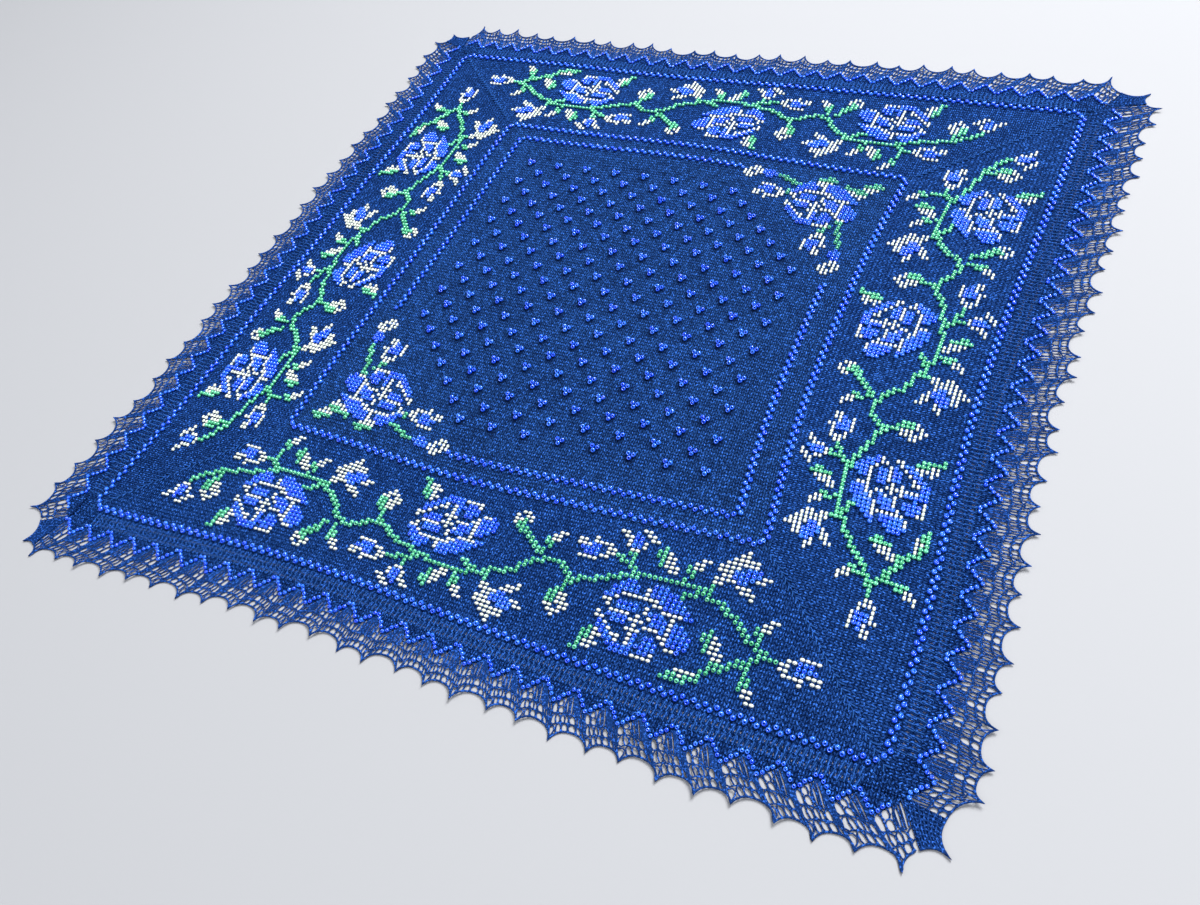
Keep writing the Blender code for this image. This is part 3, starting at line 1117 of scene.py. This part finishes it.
def threading_group(bead):
    """Geometry nodes that put a bead on each point, turned and sized by the point's attributes."""
    shapes = {"Geometry": "Geometry"}
    group, given, result = new_group("threaded_beads", shapes, shapes, "GeometryNodeTree")
    source = group.nodes.new("GeometryNodeObjectInfo")
    source.inputs["Object"].default_value = bead
    spread = group.nodes.new("GeometryNodeInstanceOnPoints")
    real = group.nodes.new("GeometryNodeRealizeInstances")
    for label, socket in (("turn", "Rotation"), ("size", "Scale")):
        named = group.nodes.new("GeometryNodeInputNamedAttribute")
        named.data_type = "FLOAT_VECTOR"
        named.inputs["Name"].default_value = label
        plug(group, spread.inputs[socket], named.outputs["Attribute"])
    fill(group, spread, Points=given["Geometry"], Instance=source.outputs["Geometry"])
    fill(group, real, Geometry=spread.outputs["Instances"])
    plug(group, result["Geometry"], real.outputs["Geometry"])
    return group


def bead_piece(name, colour, places, turn, size=1.0):
    """Beads on the cloth, their holes across the rows, which turn says the direction of."""
    chance = np.random.default_rng(list(name.encode()))
    count = len(places)
    *own_size, tilt = BEADS[colour]
    tilts = np.array((-tilt, 0.0, turn)) + chance.uniform(-0.18, 0.18, (count, 3))
    sizes = size * np.array(own_size) * chance.uniform(0.95, 1.05, (count, 1))
    sizes = sizes * chance.uniform((1, 0.92, 1), (1, 1.08, 1), (count, 3))
    data = bpy.data.meshes.new(name)
    data.vertices.add(count)
    data.vertices.foreach_set("co", laid(places, CLOTH + BEAD_RISE * size * own_size[2]).ravel())
    for label, kind in (("turn", "FLOAT_VECTOR"), ("size", "FLOAT_VECTOR"), ("shade", "FLOAT")):
        data.attributes.new(label, kind, "POINT")
    data.attributes["turn"].data.foreach_set("vector", tilts.ravel())
    data.attributes["size"].data.foreach_set("vector", sizes.ravel())
    data.attributes["shade"].data.foreach_set("value", chance.random(count))
    points = placed(name + "_points", data)
    points.modifiers.new("beads", "NODES").node_group = THREADING
    new_piece(name, finished_mesh(points, name), colour)


def bead_pieces(name, cells, place, turn, cream_turn):
    """One piece for each colour of a set of cells, which place(column, row) puts on the cloth."""
    for colour in LETTERS.values():
        spots = [place(*cell) for cell, letter in cells.items() if LETTERS[letter] == colour]
        own_turn = cream_turn if colour == "cream" else turn
        bead_piece(f"{name}_{colour}", colour, np.array(spots), own_turn)


def plot(cells, chart, column, row, mirrored=False, flipped=False):
    """Put a chart's letters into cells, where none are yet, from a first stitch and row."""
    for down, line in enumerate(chart[::-1] if flipped else chart):
        for across, letter in enumerate(line[::-1] if mirrored else line):
            if letter != ".":
                cells.setdefault((column + across, row + down), letter)


def upright(chart):
    """A chart with its lines and columns exchanged."""
    return tuple("".join(letters) for letters in zip(*chart))


def stem(cells, start, end):
    """A line of green beads from cell to cell, doubled where it steps across."""
    steps = max(abs(end[0] - start[0]), abs(end[1] - start[1]), 1)
    last_row = start[1]
    for step in range(steps + 1):
        share = step / steps
        column = round(start[0] + (end[0] - start[0]) * share)
        row = round(start[1] + (end[1] - start[1]) * share)
        cells.setdefault((column, row), "g")
        if row != last_row and column != start[0]:
            cells.setdefault((column, last_row), "g")
        last_row = row


def vine_cells():
    """The vine of a border with its roses and sprigs, in stitches along and rows out."""
    cells = {}
    for sprig in SPRIGS:
        plot(cells, *sprig)
    for start, end in zip(VINE, VINE[1:]):
        stem(cells, start, end)
    for line in STEMS:
        stem(cells, line[:2], line[2:])
    return cells


def border_beads(side):
    """The rose vine of one side."""
    mirrored, closeness, shift = VINE_FITS[side]
    sign = -1 if mirrored else 1

    def place(column, row):
        return on_side(side, (sign * column * closeness + shift) * STITCH, row * ROW)

    turn = SIDES.index(side) * math.pi / 2
    bead_pieces(f"vine_{side}", vine_cells(), place, turn, min(turn, math.pi / 2))


def line_beads(side, half, first, last):
    """Places of a bead line, two rows by turns, half the square's side from the middle."""
    low, high = math.ceil(first / STITCH), math.floor(last / STITCH)
    stitches = np.arange(low, high + 1)
    step = np.where(stitches % 2, LINE_STEP, -LINE_STEP)
    return on_side(side, stitches * STITCH, half + step)


def frame_beads():
    """The three frames of beads and the beaded zigzag."""
    for index, side in enumerate(SIDES):
        turn = index * math.pi / 2
        outer = line_beads(side, OUTER_LINE, -OUTER_LINE + 0.004, OUTER_LINE - 0.004)
        bead_piece(f"outer_line_{side}", "blue", outer, turn, LINE_SIZE)
        inner = line_beads(side, INNER_LINE, -INNER_LINE + 0.002, INNER_LINE - 0.002)
        start, end = -CENTRE_LINE[neighbour(side, -1)], CENTRE_LINE[neighbour(side, 1)]
        if side in ("near", "far"):
            start += SPRAY_GAP
        else:
            end -= SPRAY_GAP
        centre = line_beads(side, CENTRE_LINE[side], start, end)
        bead_piece(f"inner_lines_{side}", "blue", np.concatenate((inner, centre)), turn, LINE_SIZE)
        bead_piece(f"zigzag_{side}", "blue", zigzag_beads(side), turn, ZIGZAG_SIZE)


def zigzag_beads(side):
    """Places of the beads along one side's zigzag."""
    places = []
    for repeat in range(REPEATS):
        for stitch, row in ZIGZAG_BEADS:
            along = -ZIGZAG_HALF + (repeat + stitch / 6) * PITCH
            out = ZIGZAG_INNER + (ZIGZAG_OUTER - ZIGZAG_INNER) * row / 3
            places.append(on_side(side, along, OUTER_LINE + out))
    return np.array(places)


def cluster_beads():
    """The staggered rows of clusters, left out near the two roses."""
    places = []
    for row in CLUSTER_ROWS:
        y = CLUSTER_TURN - row * CLUSTER_ROW["far" if row < 0 else "near"]
        for column in range(11 - row % 2):
            x = CLUSTER_LEFT + (column + 0.5 * (row % 2)) * CLUSTER_PITCH
            if abs(x + y) < CLUSTER_LIMIT:
                places.extend((x + off_x, y + off_y) for off_x, off_y in CLUSTER_BEADS)
    bead_piece("clusters", "blue", np.array(places), 0.0, LINE_SIZE)


def spray_beads():
    """The two rose sprays, which lie in opposite corners of the centre."""
    cells = {}
    for sprig in SPRAY_SPRIGS:
        plot(cells, *sprig)
    for chart, *rest in SPRAY_UPRIGHTS:
        plot(cells, upright(chart), *rest)
    for line in SPRAY_STEMS:
        stem(cells, line[:2], line[2:])
    for name, sign in (("far_right", 1), ("near_left", -1)):

        def place(column, row):
            return np.array((sign * column * STITCH, -sign * row * ROW))

        bead_pieces(f"spray_{name}", cells, place, 0.0, math.pi / 2)


# ---------------------------------------------------------------- surroundings


def floor_and_light():
    """A pale floor, a large soft key light from the far right and a weaker fill."""
    mesh = bmesh.new()
    bmesh.ops.create_grid(mesh, x_segments=1, y_segments=1, size=4.0)
    floor = placed("floor", data_of(mesh, "floor"))
    made = new_material("pale_floor", Roughness=0.9, Base_Color=(0.345, 0.35, 0.365, 1.0))[0]
    floor.data.materials.append(made)

    for name, place, size, power in (
        ("key", (1.2, 2.4, 3.6), 2.2, 400),
        ("fill", (-1.6, -1.4, 2.4), 2.0, 26),
        ("side", (1.6, -1.2, 2.2), 1.4, 26),
    ):
        light = bpy.data.lights.new(name, "AREA")
        light.size = size
        light.energy = power
        lamp = placed(name, light)
        lamp.location = place
        lamp.rotation_euler = (-Vector(place)).to_track_quat("-Z", "Y").to_euler()

    world = bpy.data.worlds.new("studio")
    world.use_nodes = True
    sky = world.node_tree.nodes["Background"]
    fill(world.node_tree, sky, Color=(0.85, 0.90, 1.0, 1.0), Strength=0.36)
    bpy.context.scene.world = world
    bpy.context.scene.view_settings.view_transform = "Standard"


def camera():
    """The view from above the near right corner, slanted a little."""
    forward = Vector((-0.386, 0.517, -0.764)).normalized()
    down = Vector((0.222, -0.752, -0.621)).normalized()
    right = down.cross(forward).normalized()
    up = forward.cross(right) * -1
    lens = bpy.data.cameras.new("camera")
    lens.lens = 33.24
    lens.sensor_width = 36.0
    made = placed("camera", lens)
    made.matrix_world = Matrix((right, up, -forward)).transposed().to_4x4()
    made.location = (0.5346, -0.824, 0.899)
    bpy.context.scene.camera = made


GROUPS = {"stitch": stocking_stitch(), "wool": wool_colour(), "hollows_and_shade": cluster_hollows_and_shade()}
# Knitted cloth: the first colour is painted shade in the depths between the legs, the second painted
# light on their crowns. Yarn: two tones mixed at random. Glass: two depths of colour that differ at
# random from bead to bead.
MATERIALS = {
    "centre": knitted("centre_knit", (0.001, 0.0045, 0.024, 1), (0.014, 0.062, 0.225, 1), 0.5, True),
    "border": knitted("border_knit", (0.000, 0.0045, 0.031, 1), (0.012, 0.054, 0.222, 1), 0.35),
    "edging": knitted("edging_knit", (0.000, 0.0030, 0.024, 1), (0.009, 0.045, 0.192, 1), 0.7),
    "gusset": knitted("gusset_knit", (0.000, 0.0030, 0.021, 1), (0.009, 0.044, 0.190, 1), 0.9),
    "yarn": strand("net_yarn", (0.001, 0.007, 0.040, 1), (0.011, 0.052, 0.220, 1)),
    # The drawn and deep yarns are lighter and darker copies of the one navy yarn: painted light on
    # strands that lie on top, painted shade on those under them and in the mitres' grooves
    "drawn": strand("drawn_painted_light_yarn", (0.003, 0.018, 0.085, 1), (0.026, 0.108, 0.360, 1)),
    "deep": strand("painted_shade_yarn", (0.000, 0.004, 0.024, 1), (0.007, 0.034, 0.148, 1)),
    "blue": glass("blue_glass", (0.008, 0.085, 0.980, 1), (0.028, 0.200, 1.000, 1)),
    "green": glass("green_glass", (0.045, 0.420, 0.190, 1), (0.150, 0.700, 0.390, 1)),
    "cream": glass("cream_glass", (0.680, 0.760, 0.640, 1), (0.880, 0.920, 0.820, 1)),
}
BEAD = bead_shape()
THREADING = threading_group(BEAD)

centre_cloth()
for side_name in SIDES:
    border_cloth(side_name)
    edging(side_name)
    gusset(side_name)
    border_beads(side_name)
frame_beads()
cluster_beads()
spray_beads()
bpy.data.objects.remove(BEAD)
floor_and_light()
camera()
